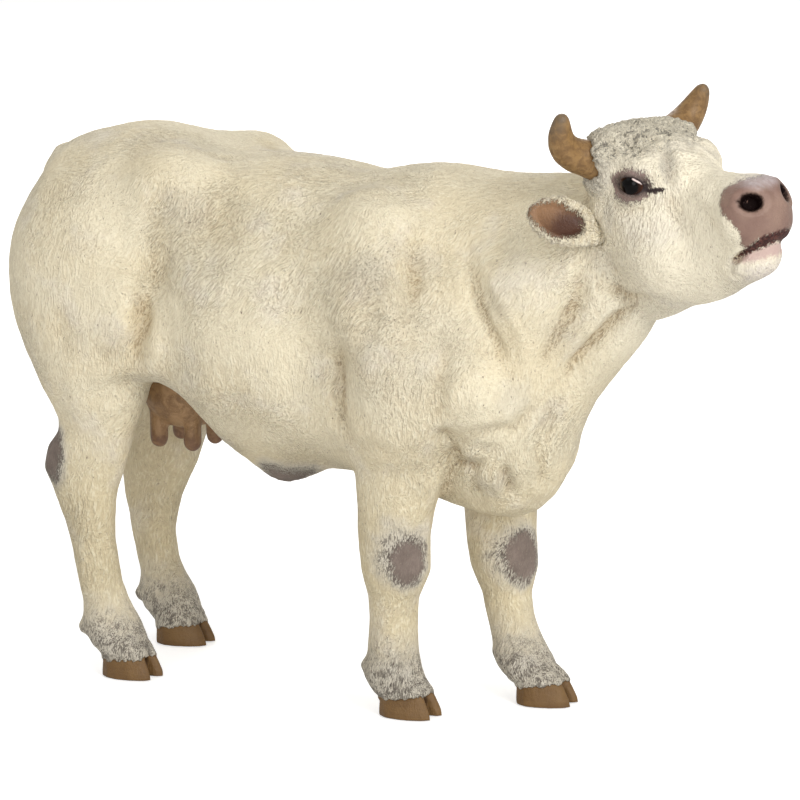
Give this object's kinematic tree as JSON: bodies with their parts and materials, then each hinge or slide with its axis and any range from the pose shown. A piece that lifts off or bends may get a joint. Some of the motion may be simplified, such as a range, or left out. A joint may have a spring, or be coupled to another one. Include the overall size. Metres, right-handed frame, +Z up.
{
  "type": "toy cow figure",
  "caption": "Moulded toy farm cow standing on cloven hooves with its head turned and raised to call, short curved horns, leaf-shaped ears, an udder and a hanging tail.",
  "frame": {"origin": "on the ground, under the middle of the figure's outer box", "axes": "+X towards the head, +Y to the animal's left, +Z up"},
  "size_m": [0.1376, 0.0422, 0.0991],
  "materials": {
    "coat": "moulded PVC with fine hair relief, painted cream, with a grey-brown wash in the creases and on the joints",
    "horn": "moulded PVC painted tan brown, darker at the tip",
    "udder": "moulded PVC painted brown"
  },
  "bodies": {
    "root": {"trunk": "coat", "head": "coat", "horn_right": "horn", "horn_left": "horn", "ear_right": "coat", "ear_left": "coat", "foreleg_right": "coat", "foreleg_left": "coat", "hindleg_right": "coat", "hindleg_left": "coat", "udder": "udder", "tail": "coat"}
  },
  "joints": []
}
